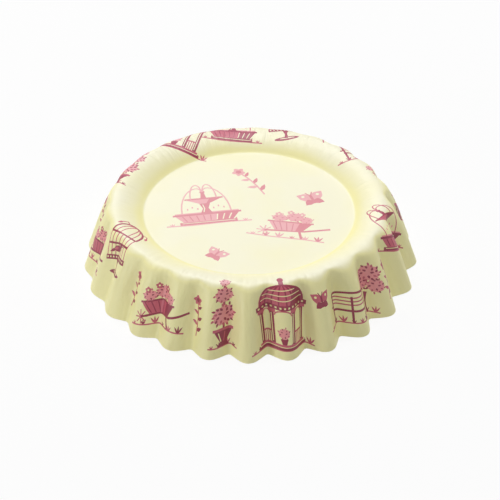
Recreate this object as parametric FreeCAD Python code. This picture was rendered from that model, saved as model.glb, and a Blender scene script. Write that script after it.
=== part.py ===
# A cupcake liner of pressed baking paper, lying mouth down on its hem, with its base panel up.
# Lengths are in millimetres, angles in degrees, and +Z is up. The origin lies under the middle of
# the base panel, at the height of the lowest points of the hem. Azimuths start at the front, which
# is -Y, and grow towards +X. The profile is drawn with the crest line of the raised rim at height
# 0, and the finished liner is lifted onto its hem.
import FreeCAD, Part
import math
import os

# The sheet, and the flat base panel sunk inside the raised rim
paper_thickness = 0.2
panel_diameter = 50.0
panel_recess = 2.9

# The raised rim: a straight slope climbs from the panel's edge, and the crown bends it level at the
# rim's crest line. The crown's share is the part of the slope that this bend takes. On the outer
# side the shoulder turns down into the skirt.
slope_width = 3.8
crown_width = 2.8
crown_share = 0.85
shoulder_rounding = 2.4

# The skirt below the shoulder: its slant length, and its lean away from the vertical
skirt_length = 15.6
skirt_lean = 19.0

# The flutes: they swing level in and out, so that the hem lies flat. They start at the rim's crest
# line, grow fastest there and are deepest at the hem. The valleys sink first and the crests lag
# behind them. A corner's share is the part of each flank beside it that its rounding takes.
flute_count = 25
flute_depth = 2.2
flute_growth = 6.0
crest_lag = 3.0
crest_share = 0.46
valley_share = 0.15

# How uneven the flutes are: they crowd and spread out by the drift as they go round, about a
# shift that they have in common. Their depth has a broad part, greatest at one azimuth, and fine
# waves that run round the skirt.
flute_shift = 1.7
flute_drift = 1.9
deepest_azimuth = 55.0
broad_spread = 0.55
fine_spread = 0.08
fine_waves = 8

# How finely the bends are followed. The skirt's strips are crowded towards the shoulder.
crown_strips = 3
shoulder_strips = 4
skirt_strips = 4
strip_crowding = 1.5
crest_chords = 3
valley_chords = 2

panel_radius = panel_diameter / 2
crest_radius = panel_radius + slope_width + crown_width
lean = math.radians(skirt_lean)
shoulder_arc = shoulder_rounding * (math.pi / 2 - lean)
fluted_length = shoulder_arc + skirt_length


def between(first, last, share):
    return tuple(a + (b - a) * share for a, b in zip(first, last))


def rounding(start, corner, end, chords):
    # Points of a rounded corner, each with the direction in which the corner runs there.
    points = []
    for i in range(chords + 1):
        leading = between(start, corner, i / chords)
        trailing = between(corner, end, i / chords)
        heading = math.atan2(trailing[1] - leading[1], trailing[0] - leading[0])
        points.append((between(leading, trailing, i / chords), heading))
    return points


def rim_rows():
    # A row is a circle of the unfluted surface: its radius and height, the direction in which the
    # paper's thickness is laid off, and its distance from the rim's crest line.
    edge = (panel_radius, -panel_recess)
    corner = (panel_radius + slope_width, 0)
    crown = rounding(between(corner, edge, crown_share), corner, (crest_radius, 0), crown_strips)
    slope = crown[0][1]
    rows = [(*edge, -math.tan(slope / 2), 1, 0)]
    for place, heading in crown[:-1]:
        rows.append((*place, -math.sin(heading), math.cos(heading), 0))
    return rows


def skirt_rows():
    # From the rim's crest line over the shoulder and down to the hem.
    distances = [shoulder_arc * i / shoulder_strips for i in range(shoulder_strips)]
    for i in range(skirt_strips + 1):
        distances.append(shoulder_arc + skirt_length * (i / skirt_strips) ** strip_crowding)
    rows = []
    for along in distances:
        turn = min(along, shoulder_arc) / shoulder_rounding
        straight = max(along - shoulder_arc, 0)
        radius = crest_radius + shoulder_rounding * math.sin(turn) + straight * math.sin(lean)
        height = -shoulder_rounding * (1 - math.cos(turn)) - straight * math.cos(lean)
        rows.append((radius, height, math.sin(turn), math.cos(turn), along))
    return rows


def flute_corner(index, along):
    # Azimuth of a corner of the zigzag, and how far it stands off the unfluted surface. Even
    # corners are crests and odd ones are valleys.
    step = math.pi * index / flute_count
    drift = flute_shift - flute_drift * (math.cos(step) + math.sin(2 * step))
    broad = broad_spread * math.cos(step - math.radians(deepest_azimuth))
    fine = fine_spread * math.sin(fine_waves * step + 2)
    sharp_depth = flute_depth / (1 - (crest_share + valley_share) / 2) * (1 + broad + fine)
    growth = 1 - (1 - along / fluted_length) ** flute_growth
    side = growth ** crest_lag if index % 2 == 0 else -growth
    return step + math.radians(drift), side * sharp_depth / 2


def zigzag(along):
    # Once round the liner: straight flanks, with every corner rounded by chords.
    vertices = []
    for index in range(2 * flute_count):
        is_crest = index % 2 == 0
        share = crest_share if is_crest else valley_share
        chords = crest_chords if is_crest else valley_chords
        corner = flute_corner(index, along)
        start = between(corner, flute_corner(index - 1, along), share)
        end = between(corner, flute_corner(index + 1, along), share)
        vertices += [place for place, heading in rounding(start, corner, end, chords)]
    return vertices


def ring_points(row, inset):
    radius, height, outward, upward, along = row
    points = []
    for azimuth, stand in zigzag(along):
        reach = radius + stand - inset * outward
        level = height - inset * upward
        points.append(FreeCAD.Vector(reach * math.sin(azimuth), -reach * math.cos(azimuth), level))
    return points


def ring(row, inset):
    points = ring_points(row, inset)
    return Part.makePolygon(points + points[:1])


def build_liner():
    rows = rim_rows() + skirt_rows()
    hem = rows[-1]
    faces = Part.makeLoft([ring(hem, 0), ring(hem, paper_thickness)], False, True).Faces
    for inset in (0, paper_thickness):
        rings = [ring(row, inset) for row in rows]
        faces.append(Part.Face(rings[0]))
        faces += Part.makeLoft(rings, False, True).Faces
    skin = Part.makeCompound(faces)
    skin.sewShape()
    liner = Part.Solid(Part.Shell(skin.Faces))
    lowest = min(point.z for point in ring_points(hem, paper_thickness))
    liner.translate(FreeCAD.Vector(0, 0, -lowest))
    return liner


os.makedirs("parts", exist_ok=True)
liner = build_liner()
liner.exportStep("parts/liner.step")
box = liner.BoundBox
print("liner valid", liner.isValid(), "closed", liner.isClosed(), "faces", len(liner.Faces))
print("volume", round(liner.Volume, 2), "mm3, area", round(liner.Area, 1), "mm2")
size = [round(length, 3) for length in (box.XLength, box.YLength, box.ZLength)]
print("size", *size, "lowest", round(box.ZMin, 4))
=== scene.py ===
# Cupcake liner lying mouth down: one pressed sheet of baking paper with a rose garden print,
# photographed on a plain white table.
import math
import bpy
import numpy as np
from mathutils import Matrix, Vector
from mathutils.geometry import delaunay_2d_cdt


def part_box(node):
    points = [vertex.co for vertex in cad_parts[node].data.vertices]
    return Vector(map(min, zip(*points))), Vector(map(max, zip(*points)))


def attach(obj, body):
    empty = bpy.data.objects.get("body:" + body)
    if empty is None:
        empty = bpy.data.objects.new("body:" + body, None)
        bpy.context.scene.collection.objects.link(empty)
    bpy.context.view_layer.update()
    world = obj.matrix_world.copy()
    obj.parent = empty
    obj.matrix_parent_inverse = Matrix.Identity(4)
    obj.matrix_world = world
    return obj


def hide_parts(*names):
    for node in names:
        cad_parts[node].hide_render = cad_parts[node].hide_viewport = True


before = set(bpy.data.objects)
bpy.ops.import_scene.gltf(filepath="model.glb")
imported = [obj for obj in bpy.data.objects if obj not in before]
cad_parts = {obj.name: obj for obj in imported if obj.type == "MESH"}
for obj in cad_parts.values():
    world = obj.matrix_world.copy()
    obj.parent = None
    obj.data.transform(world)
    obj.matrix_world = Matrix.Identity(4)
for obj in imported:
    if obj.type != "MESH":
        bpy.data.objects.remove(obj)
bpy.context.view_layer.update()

linerForm = {  # millimetres and degrees; the heights hang from the rim's crest line
    "paperThickness": 0.2,
    "panelRadius": 25.0,
    "panelRecess": 2.9,
    "foldRounding": 0.35,
    "slopeWidth": 3.8,
    "crownWidth": 2.8,
    "crownShare": 0.85,
    "shoulderRounding": 2.4,
    "skirtLength": 15.6,
    "skirtLean": 19.0,
    "fluteCount": 25,
    "fluteDepth": 2.2,
    "fluteGrowth": 6.0,
    "crestLag": 3.0,  # crests rise later than the valleys sink
    "crestShare": 0.46,
    "valleyShare": 0.15,
    "fluteShift": 1.7,
    "fluteDrift": 1.9,
    "deepestAzimuth": 55.0,
    "broadSpread": 0.55,
    "fineSpread": 0.08,
    "fineWaves": 8,
    "finePhase": 2,
    "crestHeight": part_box("liner")[1][2] * 1000,
}

formSteps = {  # how finely the curves are followed: chords in each bend, and millimetres
    "fold": 8,
    "crown": 24,
    "shoulder": 40,
    "flute": 12,
    "profile": 0.04,
    "normal": 0.02,
}

printInks = ["paper", "darkRose", "rose", "softRose", "paleRose"]


# Pressed form: a sheet point is given by its distance from the middle and its azimuth

def blend(first, last, share):
    return tuple(a + (b - a) * share for a, b in zip(first, last))


def bend(start, corner, end, steps):  # rounded corner
    points = []
    for i in range(steps + 1):
        leading = blend(start, corner, i / steps)
        trailing = blend(corner, end, i / steps)
        points.append(blend(leading, trailing, i / steps))
    return points


def makeMeridian(form):
    edge = (form["panelRadius"], -form["panelRecess"])
    corner = (form["panelRadius"] + form["slopeWidth"], 0)
    crest = (corner[0] + form["crownWidth"], 0)
    foldShare = form["foldRounding"] / math.dist(edge, corner)
    crownStart = blend(corner, edge, form["crownShare"])
    points = [(0, edge[1])]
    foldStart = (edge[0] - form["foldRounding"], edge[1])
    points += bend(foldStart, edge, blend(edge, corner, foldShare), formSteps["fold"])
    points += bend(crownStart, corner, crest, formSteps["crown"])
    crestIndex = len(points) - 1
    lean = math.radians(form["skirtLean"])
    radius = form["shoulderRounding"]
    steps = formSteps["shoulder"]
    for i in range(1, steps + 1):
        turn = (math.pi / 2 - lean) * i / steps
        points.append((crest[0] + radius * math.sin(turn), -radius * (1 - math.cos(turn))))
    last = points[-1]
    slant = form["skirtLength"]
    points.append((last[0] + slant * math.sin(lean), last[1] - slant * math.cos(lean)))
    path = np.array(points, float)
    lengths = np.concatenate([[0], np.cumsum(np.hypot(*np.diff(path, axis=0).T))])
    fine = np.arange(0, lengths[-1], formSteps["profile"])
    fine = np.append(fine, lengths[-1])
    radii = np.interp(fine, lengths, path[:, 0])
    heights = np.interp(fine, lengths, path[:, 1])
    outward = -np.gradient(heights, fine)
    upward = np.gradient(radii, fine)
    size = np.hypot(outward, upward)
    return {
        "length": fine,
        "radius": radii,
        "height": heights,
        "outward": outward / size,
        "upward": upward / size,
        "crest": lengths[crestIndex],
        "shoulder": lengths[-2],
        "hem": lengths[-1],
    }


def makeFluteProfile(form):  # how far the paper stands off, once round, at full growth
    count = form["fluteCount"]

    def corner(index):
        step = math.pi * index / count
        drift = form["fluteShift"] - form["fluteDrift"] * (math.cos(step) + math.sin(2 * step))
        broad = form["broadSpread"] * math.cos(step - math.radians(form["deepestAzimuth"]))
        fine = form["fineSpread"] * math.sin(form["fineWaves"] * step + form["finePhase"])
        sharpDepth = form["fluteDepth"] / (1 - (form["crestShare"] + form["valleyShare"]) / 2)
        side = 1 if index % 2 == 0 else -1
        return step + math.radians(drift), side * sharpDepth / 2 * (1 + broad + fine)

    points = []
    for index in range(2 * count):
        share = form["crestShare"] if index % 2 == 0 else form["valleyShare"]
        middle = corner(index)
        before = blend(middle, corner(index - 1), share)
        after = blend(middle, corner(index + 1), share)
        points += bend(before, middle, after, formSteps["flute"])
    return np.array(points)


meridian = makeMeridian(linerForm)
fluteProfile = makeFluteProfile(linerForm)


def pressSheet(reach, azimuth, inset):  # sheet coordinates to metres in the frame
    form = linerForm
    radius = np.interp(reach, meridian["length"], meridian["radius"])
    height = np.interp(reach, meridian["length"], meridian["height"])
    outward = np.interp(reach, meridian["length"], meridian["outward"])
    upward = np.interp(reach, meridian["length"], meridian["upward"])
    along = np.clip((reach - meridian["crest"]) / (meridian["hem"] - meridian["crest"]), 0, 1)
    sinking = 1 - (1 - along) ** form["fluteGrowth"]
    rising = sinking ** form["crestLag"]
    stand = np.interp(azimuth, fluteProfile[:, 0], fluteProfile[:, 1], period=2 * math.pi)
    depth = form["fluteDepth"] / 2
    swing = stand * (rising + sinking) / 2 + depth * (rising - sinking) / 2
    radius = radius + swing - inset * outward
    height = height - inset * upward + form["crestHeight"]
    return np.stack([radius * np.sin(azimuth), -radius * np.cos(azimuth), height], -1) / 1000


def pressNormals(reach, azimuth):
    small = formSteps["normal"]
    inner = np.maximum(reach, small)
    spread = small / np.maximum(inner, 1)
    down = pressSheet(inner + small, azimuth, 0) - pressSheet(inner - small, azimuth, 0)
    across = pressSheet(inner, azimuth + spread, 0) - pressSheet(inner, azimuth - spread, 0)
    normals = np.cross(down, across)
    return normals / np.linalg.norm(normals, axis=1)[:, None]


# Print: garden motifs drawn in millimetres with their foot at the origin, in painting order

def block(ink, left, low, right, high):
    return (ink, [(left, low), (right, low), (right, high), (left, high)])


def blob(ink, x, y, width, height, lobes=0, depth=0.0, steps=26):
    points = []
    for i in range(steps):
        angle = 2 * math.pi * i / steps
        swell = 1 + depth * math.sin(lobes * angle)
        points.append((x + width / 2 * swell * math.cos(angle), y + height / 2 * swell * math.sin(angle)))
    return (ink, points)


def stroke(ink, points, width):
    left = []
    right = []
    for i, (x, y) in enumerate(points):
        x0, y0 = points[max(i - 1, 0)]
        x1, y1 = points[min(i + 1, len(points) - 1)]
        size = math.hypot(x1 - x0, y1 - y0)
        nx, ny = (y0 - y1) / size * width / 2, (x1 - x0) / size * width / 2
        left.append((x + nx, y + ny))
        right.append((x - nx, y - ny))
    return (ink, left + right[::-1])


def arch(x, y, width, height, start=0, end=180, steps=14):
    points = []
    for i in range(steps + 1):
        angle = math.radians(start + (end - start) * i / steps)
        points.append((x + width / 2 * math.cos(angle), y + height * math.sin(angle)))
    return points


def leaf(ink, x, y, length, turn, fat=0.36):
    angle = math.radians(turn)
    points = []
    for share, side in ((0, 0), (0.3, 1), (0.65, 0.8), (1, 0), (0.65, -0.8), (0.3, -1)):
        u, v = share * length, side * fat * length / 2
        px = x + u * math.cos(angle) - v * math.sin(angle)
        py = y + u * math.sin(angle) + v * math.cos(angle)
        points.append((px, py))
    return (ink, points)


def foliage(x, y, width, height, count):  # a clump of leaves, dark towards its middle
    inner = 0.86  # share of the clump that the leaves' feet take
    shapes = [blob("paleRose", x, y, width * inner, height * inner, 9, 0.08)]
    for i in range(count):
        spread = math.sqrt((i + 0.5) / count)  # a sunflower's spacing
        angle = 2.4 * i
        ink = "rose" if i % 2 and spread > 0.45 else "darkRose"
        footX = x + 0.5 * width * spread * math.cos(angle) * inner
        footY = y + 0.5 * height * spread * math.sin(angle) * inner
        shapes.append(leaf(ink, footX, footY, 0.17 * width, math.degrees(angle) + 25, 0.55))
    return shapes


def meadow(left, right, count):  # ground line with tufts of grass
    shapes = [stroke("rose", [(left, 0), (left * 0.4, -0.15), (right * 0.5, 0.05), (right, -0.1)], 0.3)]
    for i in range(count):
        x = left + (right - left) * (i + 0.5) / count
        for turn in (60, 92, 124):
            shapes.append(leaf("darkRose" if i % 2 else "rose", x, -0.1, 0.9 + 0.35 * (i % 3), turn, 0.24))
    return shapes


def gazebo():
    shapes = meadow(-8.4, 8.4, 9)
    shapes += [block("darkRose", -6.4, 0, 6.4, 0.6), block("rose", -5.8, 0.6, 5.8, 1.2)]
    shapes.append(stroke("paper", [(-6.0, 0.62), (6.0, 0.62)], 0.16))
    shapes += foliage(0, 3.5, 3.0, 2.6, 12)
    shapes.append(("darkRose", [(-0.9, 2.4), (-0.5, 1.2), (0.5, 1.2), (0.9, 2.4)]))
    for x in (-4.9, -2.4, 2.4, 4.9):
        shapes.append(block("darkRose", x - 0.42, 1.2, x + 0.42, 8.2))
        shapes.append(block("paper", x - 0.2, 1.5, x - 0.02, 7.4))
        shapes.append(block("rose", x - 0.75, 7.6, x + 0.75, 8.3))
    for side in (-1, 1):
        shapes.append(stroke("rose", [(side * 2.7, 3.6), (side * 4.6, 3.6)], 0.35))
        for i in range(3):
            x = side * (3.15 + 0.5 * i)
            shapes.append(stroke("rose", [(x, 1.2), (x, 3.5)], 0.22))
    for x, width, height in ((-3.65, 1.7, 0.9), (0, 3.7, 1.1), (3.65, 1.7, 0.9)):
        shapes.append(stroke("rose", arch(x, 7.1, width, height), 0.26))
    shapes.append(block("darkRose", -5.9, 8.3, 5.9, 9.3))
    for i in range(12):
        shapes.append(block("paper", -5.5 + 0.95 * i, 8.6, -5.1 + 0.95 * i, 8.95))
    shapes.append(("rose", arch(0, 9.3, 10.6, 4.1)))
    shapes.append(("darkRose", arch(0, 9.3, 10.6, 4.1, 0, 62) + [(1.6, 9.3)]))
    for width in (1.7, 4.6, 7.4, 9.8):
        shapes.append(stroke("darkRose", arch(0, 9.3, width, 4.0), 0.3))
    for i in range(3):
        width = 9.4 - 1.9 * i * i / 2
        shapes.append(stroke("paper", [(-width / 2, 10.2 + i), (width / 2, 10.2 + i)], 0.17))
    shapes.append(block("darkRose", -0.5, 13.2, 0.5, 14.0))
    shapes.append(blob("darkRose", 0, 14.6, 1.3, 1.5))
    return shapes


def birdcage():
    shapes = [blob("darkRose", 0, 0.5, 5.4, 1.0), blob("paper", 0.2, 0.6, 3.4, 0.3)]
    foot = [(-0.4, 0.6), (0.4, 0.6), (0.25, 1.8), (0.6, 3.0), (-0.6, 3.0), (-0.25, 1.8)]
    shapes.append(("darkRose", foot))
    shapes.append(block("darkRose", -3.7, 3.0, 3.7, 4.0))
    for i in range(9):
        shapes.append(block("paper", -3.4 + 0.78 * i, 3.35, -3.05 + 0.78 * i, 3.7))
    for x in (-3.3, -2.2, -1.1, 0, 1.1, 2.2, 3.3):
        shapes.append(stroke("rose", [(x, 4.0), (x, 8.8)], 0.24))
        shapes.append(stroke("rose", arch(0, 8.8, 2 * abs(x) + 0.01, 4.0, 0, 180, 16), 0.24))
    for y in (6.4, 8.8):
        shapes.append(stroke("darkRose", [(-3.45, y), (3.45, y)], 0.4))
    shapes.append(stroke("darkRose", arch(0, 8.8, 6.9, 4.1, 0, 180, 18), 0.38))
    shapes += [blob("darkRose", -0.3, 5.3, 2.2, 1.3), blob("darkRose", 0.8, 6.0, 1.0, 0.95)]
    shapes += [leaf("darkRose", -1.0, 5.2, 1.8, 200), leaf("rose", -0.2, 5.5, 1.3, 195, 0.5)]
    shapes.append(leaf("darkRose", 1.1, 6.0, 0.8, 5))
    shapes.append(stroke("darkRose", arch(0, 13.5, 1.5, 0.75, 0, 360, 16), 0.32))
    for side in (-1, 1):
        tendril = [(side * 0.3, 12.9), (side * 1.6, 12.2), (side * 2.8, 12.6), (side * 3.4, 11.8)]
        shapes.append(stroke("rose", tendril, 0.3))
        shapes.append(leaf("rose", side * 3.3, 11.9, 1.3, 270 + side * 30, 0.5))
    return shapes


def fountain():
    shapes = meadow(-7.4, 7.4, 7)
    shapes += [block("darkRose", -5.0, 0, 5.0, 0.8), block("paper", -4.6, 0.45, 4.6, 0.6)]
    shapes.append(("rose", [(-4.3, 0.8), (4.3, 0.8), (5.6, 2.8), (-5.6, 2.8)]))
    shapes.append(("darkRose", [(1.4, 0.8), (4.3, 0.8), (5.6, 2.8), (2.0, 2.8)]))
    for i in range(8):
        x = -3.9 + 1.1 * i
        shapes.append(stroke("darkRose" if i < 5 else "paper", [(x * 0.94, 1.0), (x * 1.12, 2.6)], 0.2))
    shapes += [block("darkRose", -6.0, 2.7, 6.0, 3.2), block("paleRose", -5.6, 3.2, 5.6, 3.5)]
    stem = [(-1.0, 3.2), (1.0, 3.2), (0.5, 4.6), (0.95, 6.1), (-0.95, 6.1), (-0.5, 4.6)]
    shapes.append(("darkRose", stem))
    shapes.append(stroke("paper", [(-0.45, 3.5), (-0.2, 4.6), (-0.4, 5.8)], 0.18))
    shapes.append(("rose", [(-0.9, 6.1), (0.9, 6.1), (3.2, 7.5), (-3.2, 7.5)]))
    shapes.append(("darkRose", [(0.3, 6.1), (0.9, 6.1), (3.2, 7.5), (1.0, 7.5)]))
    shapes.append(block("darkRose", -3.4, 7.4, 3.4, 7.8))
    shapes.append(("darkRose", [(-0.5, 7.8), (0.5, 7.8), (0.3, 9.3), (-0.3, 9.3)]))
    shapes.append(blob("darkRose", 0, 9.6, 0.9, 0.9))
    for side in (-1, 1):
        for reach, rise, drop in ((2.2, 2.7, 2.0), (4.2, 2.2, 6.4)):
            points = []
            for i in range(13):
                share = i / 12
                x = side * reach * (1 - math.cos(math.pi * share)) / 2
                points.append((x + side * 0.1, 9.6 + rise * math.sin(math.pi * share) - drop * share ** 2))
            shapes.append(stroke("rose", points, 0.26))
        for i in range(3):
            shapes.append(blob("paleRose", side * (1.4 + 0.9 * i), 4.6 + 0.5 * (i % 2), 0.3, 0.6, steps=8))
    return shapes


def topiary():
    shapes = meadow(-3.6, 3.6, 4)
    shapes.append(("darkRose", [(-1.4, 0), (1.4, 0), (0.7, 0.9), (2.0, 3.4), (-2.0, 3.4), (-0.7, 0.9)]))
    shapes.append(stroke("paper", [(-0.5, 1.0), (-1.1, 3.0)], 0.2))
    shapes.append(stroke("rose", [(0.1, 1.0), (0.3, 3.0)], 0.2))
    shapes.append(block("rose", -2.3, 3.3, 2.3, 3.9))
    shapes.append(stroke("darkRose", [(0, 3.9), (0, 13.0)], 0.42))
    for y, width, count in ((6.6, 5.2, 26), (10.8, 4.0, 18), (13.7, 2.4, 10)):
        shapes += foliage(0, y, width, width * 0.9, count)
    return shapes


def wheelbarrow():
    shapes = meadow(-7.6, 6.6, 6)
    shapes.append(stroke("darkRose", arch(-4.6, 1.6, 3.2, 1.6, 0, 360, 22), 0.42))
    for i in range(4):
        shapes.append(stroke("rose", arch(-4.6, 1.6, 2.9, 1.45, 45 * i, 45 * i + 180, 1), 0.24))
    shapes.append(stroke("darkRose", [(-4.6, 1.6), (2.5, 2.4), (7.0, 4.0)], 0.46))
    shapes.append(stroke("darkRose", [(1.6, 2.4), (2.4, 0.1)], 0.46))
    shapes.append(("rose", [(-2.8, 2.0), (2.2, 2.4), (3.6, 5.0), (-4.4, 4.6)]))
    shapes.append(("darkRose", [(0.9, 2.3), (2.2, 2.4), (3.6, 5.0), (1.3, 4.9)]))
    for i in range(4):
        shapes.append(stroke("darkRose", [(-2.4 + 0.9 * i, 2.2), (-3.6 + 1.25 * i, 4.5)], 0.2))
    shapes.append(stroke("darkRose", [(-4.6, 4.6), (3.8, 5.0)], 0.4))
    shapes += foliage(-2.6, 5.8, 3.2, 2.4, 12)
    shapes += foliage(0.1, 6.4, 3.4, 2.9, 14)
    shapes += foliage(2.3, 5.9, 2.6, 2.2, 9)
    for x, y in ((-3.0, 6.9), (-0.9, 7.7), (1.2, 7.4)):
        shapes += [blob("rose", x, y, 1.2, 1.2, 5, 0.18), blob("paper", x, y, 0.4, 0.4, steps=8)]
    return shapes


def bench():
    shapes = meadow(-8.6, 9.2, 9)
    trunk = [(5.0, 0), (6.2, 0), (5.9, 2.4), (6.1, 4.6), (5.2, 4.6), (5.3, 2.4)]
    shapes.append(("darkRose", trunk))
    shapes += foliage(3.9, 6.6, 4.6, 4.0, 20)
    shapes += foliage(7.6, 6.4, 4.2, 3.6, 16)
    shapes += foliage(5.8, 9.2, 5.0, 4.2, 22)
    for y in (2.7, 4.1, 4.9, 5.7):
        shapes.append(stroke("darkRose" if y < 3 else "rose", [(-6.0, y), (2.4, y)], 0.5 if y < 3 else 0.3))
    for x in (-5.7, -1.8, 2.1):
        shapes.append(stroke("darkRose", [(x, 0), (x, 6.0)], 0.46))
    shapes.append(stroke("darkRose", arch(-1.8, 5.9, 8.2, 1.0), 0.46))
    for x in (-6.2, 2.6):
        shapes.append(stroke("darkRose", [(x - 0.4, 3.8), (x + 0.5, 3.8)], 0.4))
    return shapes


def sprig():
    stem = [(math.sin(i * 0.35) * 0.7, 7.0 * i / 6) for i in range(7)]
    shapes = [stroke("rose", stem, 0.28)]
    for i in range(1, 6):
        x, y = stem[i]
        ink, turn = ("darkRose", 35) if i % 2 else ("rose", 145)
        shapes.append(leaf(ink, x, y, 2.0 - 0.12 * i, turn, 0.42))
    x = stem[-1][0]
    shapes += [blob("rose", x, 7.6, 1.9, 1.9, 5, 0.2), blob("darkRose", x, 7.6, 0.9, 0.9, 5, 0.1)]
    return shapes


def butterfly():
    shapes = []
    for side in (-1, 1):
        base = 90 - side * 90
        shapes.append(leaf("rose", 0, 0.1, 2.4, base + side * 38, 0.75))
        shapes.append(leaf("darkRose", 0, -0.1, 1.7, base - side * 36, 0.75))
        shapes.append(blob("paper", side * 1.1, 1.0, 0.5, 0.5, steps=8))
        shapes.append(stroke("darkRose", [(0, 0.9), (side * 0.5, 1.8)], 0.16))
    shapes.append(stroke("darkRose", [(0, -1.0), (0, 1.1)], 0.4))
    return shapes


motifs = {
    "gazebo": gazebo(),
    "birdcage": birdcage(),
    "fountain": fountain(),
    "topiary": topiary(),
    "wheelbarrow": wheelbarrow(),
    "bench": bench(),
    "sprig": sprig(),
    "butterfly": butterfly(),
}

# Each motif's foot on the flat sheet (mm from the middle, azimuth from the front), turn and size
skirtPrint = [
    ("gazebo", 48.6, 12, 11, 1.12),
    ("topiary", 48.2, -9, -8, 1.12),
    ("sprig", 47.0, -19, -12, 1.1),
    ("wheelbarrow", 46.8, -33, -27, 1.2),
    ("birdcage", 42.5, -60, -44, 1.2),
    ("sprig", 46.5, -48, -50, 1.1),
    ("bench", 47.4, 41, 34, 1.08),
    ("butterfly", 39.0, 27, 30, 1.2),
    ("sprig", 47.0, 57, 52, 1.1),
    ("fountain", 40.5, 74, 48, 1.12),
    ("topiary", 44.0, 100, 62, 1.1),
    ("bench", 37.0, 123, 18, 1.1),
    ("wheelbarrow", 44.0, 148, 14, 1.1),
    ("sprig", 32.0, 144, 12, 1.2),
    ("birdcage", 29.5, 161, 6, 1.15),
    ("butterfly", 45.5, 180, 25, 1.3),
    ("fountain", 28.5, 189, -4, 1.05),
    ("gazebo", 31.0, 219, -16, 1.12),
    ("butterfly", 43.0, 234, -20, 1.3),
    ("topiary", 34.5, 255, -30, 1.05),
    ("sprig", 44.0, 268, -60, 1.1),
    ("wheelbarrow", 46.5, 281, -74, 1.1),
]
panelPrint = [
    ("fountain", 10.5, -62, 9, 1.36),
    ("wheelbarrow", 14.0, 40, -12, 1.3),
    ("sprig", 8.0, 152, 38, 1.5),
    ("butterfly", 16.0, 108, 20, 1.7),
    ("butterfly", 19.0, -24, -35, 1.4),
]
fadedInks = {"darkRose": "softRose", "rose": "paleRose"}  # the panel is printed paler


def layPrint(layout, inkNames):
    shapes = []
    for name, reach, azimuth, turn, size in layout:
        right = reach * math.sin(math.radians(azimuth))
        away = -reach * math.cos(math.radians(azimuth))
        cosine, sine = size * math.cos(math.radians(turn)), size * math.sin(math.radians(turn))
        for ink, points in motifs[name]:
            placed = [(right + x * cosine - y * sine, away + x * sine + y * cosine) for x, y in points]
            shapes.append((inkNames.get(ink, ink), placed))
    return shapes


# Sheet: one triangulation of the flat paper with the print's outlines in it, pressed to shape

sheetMesh = {
    "panelRings": ((6, 24), (12, 60), (18, 120), (22, 200)),  # reach in mm, points
    "columnsPerFlute": 24,
    "foldStep": 0.55,
    "skirtStep": 1.0,
    "outlineStep": 0.5,
    "weldDistance": 1e-5,
    "hemSlack": 1e-4,
    "smallestArea": 1e-9,
}


def latticeRings():
    rings = list(sheetMesh["panelRings"])
    columns = sheetMesh["columnsPerFlute"] * linerForm["fluteCount"]
    fold = linerForm["panelRadius"] - linerForm["foldRounding"]
    shoulder, hem = meridian["shoulder"], meridian["hem"]
    bendRows = round((shoulder - fold) / sheetMesh["foldStep"])
    for i in range(bendRows):
        rings.append((fold + (shoulder - fold) * i / bendRows, columns))
    skirtRows = round((hem - shoulder) / sheetMesh["skirtStep"])
    for i in range(skirtRows + 1):
        rings.append((shoulder + (hem - shoulder) * i / skirtRows, columns))
    return rings


def splitEdges(outline):  # off the flat panel, edges short enough to follow the flutes
    longest = sheetMesh["outlineStep"]
    flatReach = linerForm["panelRadius"] - 1
    points = []
    for start, end in zip(outline, outline[1:] + outline[:1]):
        parts = 1
        if max(math.hypot(*start), math.hypot(*end)) > flatReach:
            parts = max(1, math.ceil(math.dist(start, end) / longest))
        points += [blend(start, end, i / parts) for i in range(parts)]
    return points


def triangulateSheet(shapes):
    points = [(0.0, 0.0)]
    rings = latticeRings()
    for reach, count in rings:
        for i in range(count):
            angle = 2 * math.pi * i / count
            points.append((reach * math.sin(angle), -reach * math.cos(angle)))
    hemCount = rings[-1][1]
    hemStart = len(points) - hemCount
    edges = [(hemStart + i, hemStart + (i + 1) % hemCount) for i in range(hemCount)]
    faces = []
    for ink, drawn in shapes:
        outline = splitEdges(drawn)
        turning = sum(a[0] * b[1] - b[0] * a[1] for a, b in zip(outline, outline[1:] + outline[:1]))
        faces.append(list(range(len(points), len(points) + len(outline))))
        points += outline if turning > 0 else outline[::-1]
    places = [Vector(point) for point in points]
    found = delaunay_2d_cdt(places, edges, faces, 0, sheetMesh["weldDistance"], True)
    flat = np.array([tuple(point) for point in found[0]])
    triangles = np.array([tuple(face) for face in found[2]])
    inks = np.zeros(len(triangles), int)
    for i, sources in enumerate(found[5]):  # the shape drawn last lies on top
        if sources:
            inks[i] = printInks.index(shapes[max(sources)][0])
    corners = flat[triangles]
    middles = corners.mean(axis=1)
    areas = np.cross(corners[:, 1] - corners[:, 0], corners[:, 2] - corners[:, 0])
    limit = meridian["hem"] * math.cos(math.pi / hemCount) + sheetMesh["hemSlack"]
    keep = (np.hypot(middles[:, 0], middles[:, 1]) < limit) & (np.abs(areas) > sheetMesh["smallestArea"])
    triangles = triangles[keep]
    turned = areas[keep] < 0
    triangles[turned] = triangles[turned][:, ::-1]
    return flat, triangles, inks[keep]


shapes = layPrint(skirtPrint, {}) + layPrint(panelPrint, fadedInks)
flat, triangles, inks = triangulateSheet(shapes)
print("print laid out:", len(shapes), "shapes,", len(flat), "points,", len(triangles), "triangles")


def hemEdges(triangles):  # directed edges that have no neighbour
    edges = np.concatenate([triangles[:, [0, 1]], triangles[:, [1, 2]], triangles[:, [2, 0]]])
    known = {(a, b) for a, b in edges.tolist()}
    return [(a, b) for a, b in known if (b, a) not in known]


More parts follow.
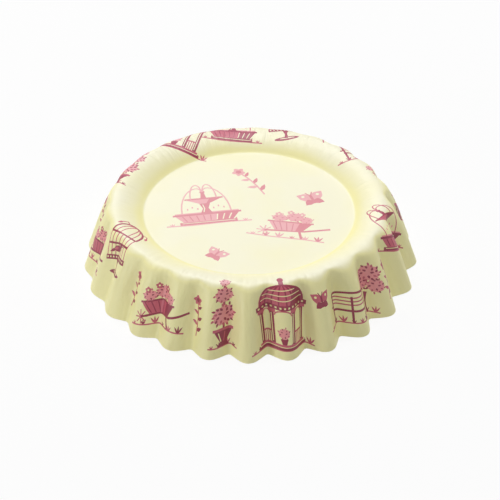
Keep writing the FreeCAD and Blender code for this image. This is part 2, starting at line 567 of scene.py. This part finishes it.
def setNormals(mesh, normals, hemLoops):  # the sheet's own on both sides, and one slant round the hem
    loops = np.empty(len(mesh.loops), int)
    mesh.loops.foreach_get("vertex_index", loops)
    places = np.empty(3 * len(mesh.vertices))
    mesh.vertices.foreach_get("co", places)
    places = places.reshape(-1, 3)[loops[hemLoops:]]
    azimuth = np.arctan2(places[:, 0], -places[:, 1])
    lean = math.radians(linerForm["skirtLean"])
    across = math.sin(lean) * np.sin(azimuth)
    away = -math.sin(lean) * np.cos(azimuth)
    loopNormals = np.concatenate([normals, -normals])[loops]
    loopNormals[hemLoops:] = np.stack([across, away, np.full(len(azimuth), -math.cos(lean))], -1)
    mesh.normals_split_custom_set(loopNormals.tolist())


def makeLiner(flat, triangles, inks):
    used = np.unique(triangles)
    number = np.full(len(flat), -1)
    number[used] = np.arange(len(used))
    sheet = number[triangles]
    reach = np.minimum(np.hypot(flat[used, 0], flat[used, 1]), meridian["hem"])
    azimuth = np.arctan2(flat[used, 0], -flat[used, 1])
    outer = pressSheet(reach, azimuth, 0)
    inner = pressSheet(reach, azimuth, linerForm["paperThickness"])
    count = len(used)
    faces = sheet.tolist() + (sheet[:, ::-1] + count).tolist()
    slots = inks.tolist() + [0] * len(sheet)
    for a, b in hemEdges(sheet):
        faces.append([b, a, a + count, b + count])
        slots.append(0)
    mesh = bpy.data.meshes.new("pressedPaper")
    mesh.from_pydata(np.concatenate([outer, inner]).tolist(), [], faces)
    mesh.polygons.foreach_set("material_index", slots)
    mesh.polygons.foreach_set("use_smooth", [True] * len(faces))
    sheetLoops = 3 * 2 * len(sheet)  # three to a triangle, on both sides
    setNormals(mesh, pressNormals(reach, azimuth), sheetLoops)
    liner = bpy.data.objects.new("pressedPaper", mesh)
    bpy.context.collection.objects.link(liner)
    return liner


liner = makeLiner(flat, triangles, inks)
print("liner pressed:", len(liner.data.polygons), "faces")


# Paper surface, shared by the bare paper and the inks

paperLook = {
    # shadedColor is painted shade: the deeper tone that paper and inks take on steep slopes and in the
    # panel's fold
    "paper": {"color": (0.93, 0.90, 0.68), "shadedColor": (0.95, 0.895, 0.455)},
    "darkRose": {"color": (0.385, 0.043, 0.096), "shadedColor": (0.31, 0.032, 0.064)},
    "rose": {"color": (0.58, 0.13, 0.19), "shadedColor": (0.58, 0.118, 0.16)},
    "softRose": {"color": (0.72, 0.26, 0.30), "shadedColor": (0.70, 0.2, 0.22)},
    "paleRose": {"color": (0.84, 0.44, 0.46), "shadedColor": (0.85, 0.33, 0.33)},
    "roughness": 0.38,
    "gloss": 0.55,
    "fibreScale": 900.0,
    "fibreHeight": 0.12,  # against a crease of 1
    "creaseScale": 22,
    "creaseDrift": (6, 6, 12),
    "creaseFade": (0.5, 4.0),  # mm past the panel's edge, where the creases come in
    "cloudScale": 70,
    "cloudTone": -0.35,
    "cloudRoughness": 0.12,
    "steepness": (0.84, 0.50),  # upright share of the normal, from the pale tone to the painted shade colour: level paper is painted paler and steep slopes deeper, as shade
    # painted shade in the recess round the panel's edge, at its deepest
    "foldShade": 0.42,
    "foldEdge": (-0.2, 0.2, 2.4),  # mm past the panel's edge: start, deepest and end of the painted shade in the fold's recess
    "bumpDistance": 0.00028,
}


def addSocket(group, name, way, kind, value=None):
    socket = group.interface.new_socket(name=name, in_out=way, socket_type=kind)
    if value is not None:
        socket.default_value = value


def feed(tree, socket, value):  # with a link from another socket, or a plain value
    if isinstance(value, bpy.types.NodeSocket):
        tree.links.new(value, socket)
    else:
        socket.default_value = value


def addMath(tree, operation, *values):
    node = tree.nodes.new("ShaderNodeMath")
    node.operation = operation
    for socket, value in zip(node.inputs, values):
        feed(tree, socket, value)
    return node.outputs["Value"]


def addVectorMath(tree, operation, *values):
    node = tree.nodes.new("ShaderNodeVectorMath")
    node.operation = operation
    for socket, value in zip(node.inputs, values):
        feed(tree, socket, value)
    return node.outputs["Value" if operation == "LENGTH" else "Vector"]


def addRange(tree, value, start, end, top=1.0):  # 0 at the start, the top value at the end
    node = tree.nodes.new("ShaderNodeMapRange")
    feed(tree, node.inputs["Value"], value)
    node.inputs["From Min"].default_value = start
    node.inputs["From Max"].default_value = end
    node.inputs["To Max"].default_value = top
    return node.outputs["Result"]


def addNoise(tree, place, scale, detail):
    node = tree.nodes.new("ShaderNodeTexNoise")
    feed(tree, node.inputs["Vector"], place)
    feed(tree, node.inputs["Scale"], scale)
    node.inputs["Detail"].default_value = detail
    return node.outputs["Fac"]


def pastPanel(distance):  # millimetres past the panel's edge to metres from the middle
    return (linerForm["panelRadius"] + distance) / 1000


def makePaperGroup():
    look = paperLook
    group = bpy.data.node_groups.new("pressedPaperSurface", "ShaderNodeTree")
    addSocket(group, "Color", "INPUT", "NodeSocketColor")
    addSocket(group, "Shaded Color", "INPUT", "NodeSocketColor")
    addSocket(group, "Roughness", "INPUT", "NodeSocketFloat", 0.5)
    addSocket(group, "Fibre Scale", "INPUT", "NodeSocketFloat", 900.0)
    addSocket(group, "Color", "OUTPUT", "NodeSocketColor")
    addSocket(group, "Roughness", "OUTPUT", "NodeSocketFloat")
    addSocket(group, "Height", "OUTPUT", "NodeSocketFloat")
    given = group.nodes.new("NodeGroupInput")
    result = group.nodes.new("NodeGroupOutput")
    coordinates = group.nodes.new("ShaderNodeTexCoord")
    place = coordinates.outputs["Object"]
    level = addVectorMath(group, "MULTIPLY", place, (1, 1, 0))  # place on the table plane
    reach = addVectorMath(group, "LENGTH", level)
    fibre = addNoise(group, place, given.outputs["Fibre Scale"], 4)
    cloud = addNoise(group, place, look["cloudScale"], 2)  # uneven coating

    around = addVectorMath(group, "NORMALIZE", level)  # creases run away from the middle
    drift = addVectorMath(group, "MULTIPLY_ADD", place, look["creaseDrift"], around)
    crease = addNoise(group, drift, look["creaseScale"], 2)
    skirt = addRange(group, reach, *map(pastPanel, look["creaseFade"]))  # none on the flat panel
    creaseHeight = addMath(group, "MULTIPLY", crease, skirt)
    height = addMath(group, "MULTIPLY_ADD", fibre, look["fibreHeight"], creaseHeight)

    facing = group.nodes.new("ShaderNodeSeparateXYZ")
    group.links.new(coordinates.outputs["Normal"], facing.inputs["Vector"])
    upright = addMath(group, "ABSOLUTE", facing.outputs["Z"])
    cloudedUpright = addMath(group, "MULTIPLY_ADD", cloud, look["cloudTone"], upright)
    slopeShade = addRange(group, cloudedUpright, *look["steepness"])  # painted shade: steep slopes deeper than level paper, as under light from above
    # painted shade: a deeper band in the fold's recess round the panel's edge
    start, deepest, end = map(pastPanel, look["foldEdge"])
    edge = addRange(group, reach, start, deepest)
    fade = addRange(group, reach, end, deepest, look["foldShade"])
    fold = addMath(group, "MULTIPLY_ADD", edge, fade, slopeShade)
    fold.node.use_clamp = True
    # mixes each colour towards its painted shade colour
    mix = group.nodes.new("ShaderNodeMix")
    mix.data_type = "RGBA"
    group.links.new(fold, mix.inputs["Factor"])
    group.links.new(given.outputs["Color"], mix.inputs["A"])
    group.links.new(given.outputs["Shaded Color"], mix.inputs["B"])

    satin = addMath(group, "MULTIPLY_ADD", cloud, look["cloudRoughness"], given.outputs["Roughness"])
    group.links.new(mix.outputs["Result"], result.inputs["Color"])
    group.links.new(satin, result.inputs["Roughness"])
    group.links.new(height, result.inputs["Height"])
    return group


paperGroup = makePaperGroup()


def makePaperMaterial(name):
    look = paperLook[name]
    material = bpy.data.materials.new(name)
    material.use_nodes = True
    nodes, links = material.node_tree.nodes, material.node_tree.links
    shader = nodes["Principled BSDF"]
    surface = nodes.new("ShaderNodeGroup")
    surface.node_tree = paperGroup
    surface.inputs["Color"].default_value = (*look["color"], 1)
    surface.inputs["Shaded Color"].default_value = (*look["shadedColor"], 1)
    surface.inputs["Roughness"].default_value = paperLook["roughness"]
    surface.inputs["Fibre Scale"].default_value = paperLook["fibreScale"]
    bump = nodes.new("ShaderNodeBump")
    bump.inputs["Distance"].default_value = paperLook["bumpDistance"]
    bump.inputs["Strength"].default_value = 1.0
    shader.inputs["Specular IOR Level"].default_value = paperLook["gloss"]
    links.new(surface.outputs["Height"], bump.inputs["Height"])
    links.new(surface.outputs["Color"], shader.inputs["Base Color"])
    links.new(surface.outputs["Roughness"], shader.inputs["Roughness"])
    links.new(bump.outputs["Normal"], shader.inputs["Normal"])
    return material


for name in printInks:
    liner.data.materials.append(makePaperMaterial(name))
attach(liner, "root")
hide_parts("liner")
print("paper and inks made")


# Table, lamps and camera

studio = {
    "floorSize": 6.0,
    "floorColor": (0.9, 0.9, 0.9, 1),
    "floorRoughness": 0.9,
    "floorGloss": 0.1,
    "floorWhite": 0.85,  # share of plain white that the camera sees in the floor
    "worldStrength": 0.155,
    "lampAim": (0, 0, 0.01),
    "lamps": {  # place in metres, size in metres, power in watts
        "overhead": ((0.0, 0.26, 1.05), 0.45, 7.9),
        "backWindow": ((-0.3, 1.0, 0.8), 0.6, 3.4),
        "leftCard": ((-0.36, -0.2, 0.06), 0.1, 0.33),
        "rightCard": ((0.34, -0.5, 0.14), 0.12, 0.17),
    },
}


def whiteRays(tree):  # 1 for the rays of camera, gloss and glass, which all see plain white
    path = tree.nodes.new("ShaderNodeLightPath")
    found = path.outputs["Is Camera Ray"]
    for name in ("Is Glossy Ray", "Is Transmission Ray"):
        found = addMath(tree, "MAXIMUM", found, path.outputs[name])
    return found


def makeFloor():
    half = studio["floorSize"] / 2
    mesh = bpy.data.meshes.new("table")
    corners = [(-half, -half, 0), (half, -half, 0), (half, half, 0), (-half, half, 0)]
    mesh.from_pydata(corners, [], [(0, 1, 2, 3)])
    floor = bpy.data.objects.new("table", mesh)
    bpy.context.collection.objects.link(floor)
    material = bpy.data.materials.new("whiteTable")
    material.use_nodes = True
    nodes, links = material.node_tree.nodes, material.node_tree.links
    shader = nodes["Principled BSDF"]
    shader.inputs["Base Color"].default_value = studio["floorColor"]
    shader.inputs["Roughness"].default_value = studio["floorRoughness"]
    shader.inputs["Specular IOR Level"].default_value = studio["floorGloss"]
    glow = nodes.new("ShaderNodeEmission")
    glow.inputs["Color"].default_value = (1, 1, 1, 1)
    share = addMath(material.node_tree, "MULTIPLY", whiteRays(material.node_tree), studio["floorWhite"])
    mix = nodes.new("ShaderNodeMixShader")
    links.new(share, mix.inputs["Fac"])
    links.new(shader.outputs["BSDF"], mix.inputs[1])
    links.new(glow.outputs["Emission"], mix.inputs[2])
    links.new(mix.outputs["Shader"], nodes["Material Output"].inputs["Surface"])
    mesh.materials.append(material)


def aimAt(thing, target):
    direction = Vector(target) - thing.location
    thing.rotation_euler = direction.to_track_quat("-Z", "Y").to_euler()


def makeLamp(name, place, size, power):
    lamp = bpy.data.lights.new(name, "AREA")
    lamp.shape = "DISK"
    lamp.size = size
    lamp.energy = power
    holder = bpy.data.objects.new(name, lamp)
    holder.location = place
    bpy.context.collection.objects.link(holder)
    aimAt(holder, studio["lampAim"])


def makeWorld():
    world = bpy.data.worlds.new("whiteRoom")
    world.use_nodes = True
    nodes, links = world.node_tree.nodes, world.node_tree.links
    background = nodes["Background"]
    background.inputs["Color"].default_value = (1, 1, 1, 1)
    background.inputs["Strength"].default_value = studio["worldStrength"]
    bright = nodes.new("ShaderNodeBackground")
    mix = nodes.new("ShaderNodeMixShader")
    links.new(whiteRays(world.node_tree), mix.inputs["Fac"])
    links.new(background.outputs["Background"], mix.inputs[1])
    links.new(bright.outputs["Background"], mix.inputs[2])
    links.new(mix.outputs["Shader"], nodes["World Output"].inputs["Surface"])
    bpy.context.scene.world = world


cameraView = {
    "elevation": 36.5,  # degrees above the table
    "distance": 0.45,  # from the point of the table under the liner's middle
    "scale": 4150.0,  # pixels per metre there
    "sensorWidth": 36,
    "frameWidth": 500.0,
    "middle": (249.0, 257.2),  # pixel of that point
}


def makeCamera():
    camera = bpy.data.cameras.new("camera")
    holder = bpy.data.objects.new("camera", camera)
    tilt = math.radians(cameraView["elevation"])
    distance = cameraView["distance"]
    holder.location = (0, -distance * math.cos(tilt), distance * math.sin(tilt))
    aimAt(holder, (0, 0, 0))
    width = cameraView["frameWidth"]
    camera.sensor_width = cameraView["sensorWidth"]
    camera.lens = cameraView["sensorWidth"] * cameraView["scale"] * distance / width
    camera.shift_x = (width / 2 - cameraView["middle"][0]) / width
    camera.shift_y = (cameraView["middle"][1] - width / 2) / width
    camera.clip_start = 0.01
    bpy.context.collection.objects.link(holder)
    bpy.context.scene.camera = holder


makeFloor()
makeWorld()
for name, (place, size, power) in studio["lamps"].items():
    makeLamp(name, place, size, power)
makeCamera()
bpy.context.scene.view_settings.view_transform = "Standard"
print("studio ready")
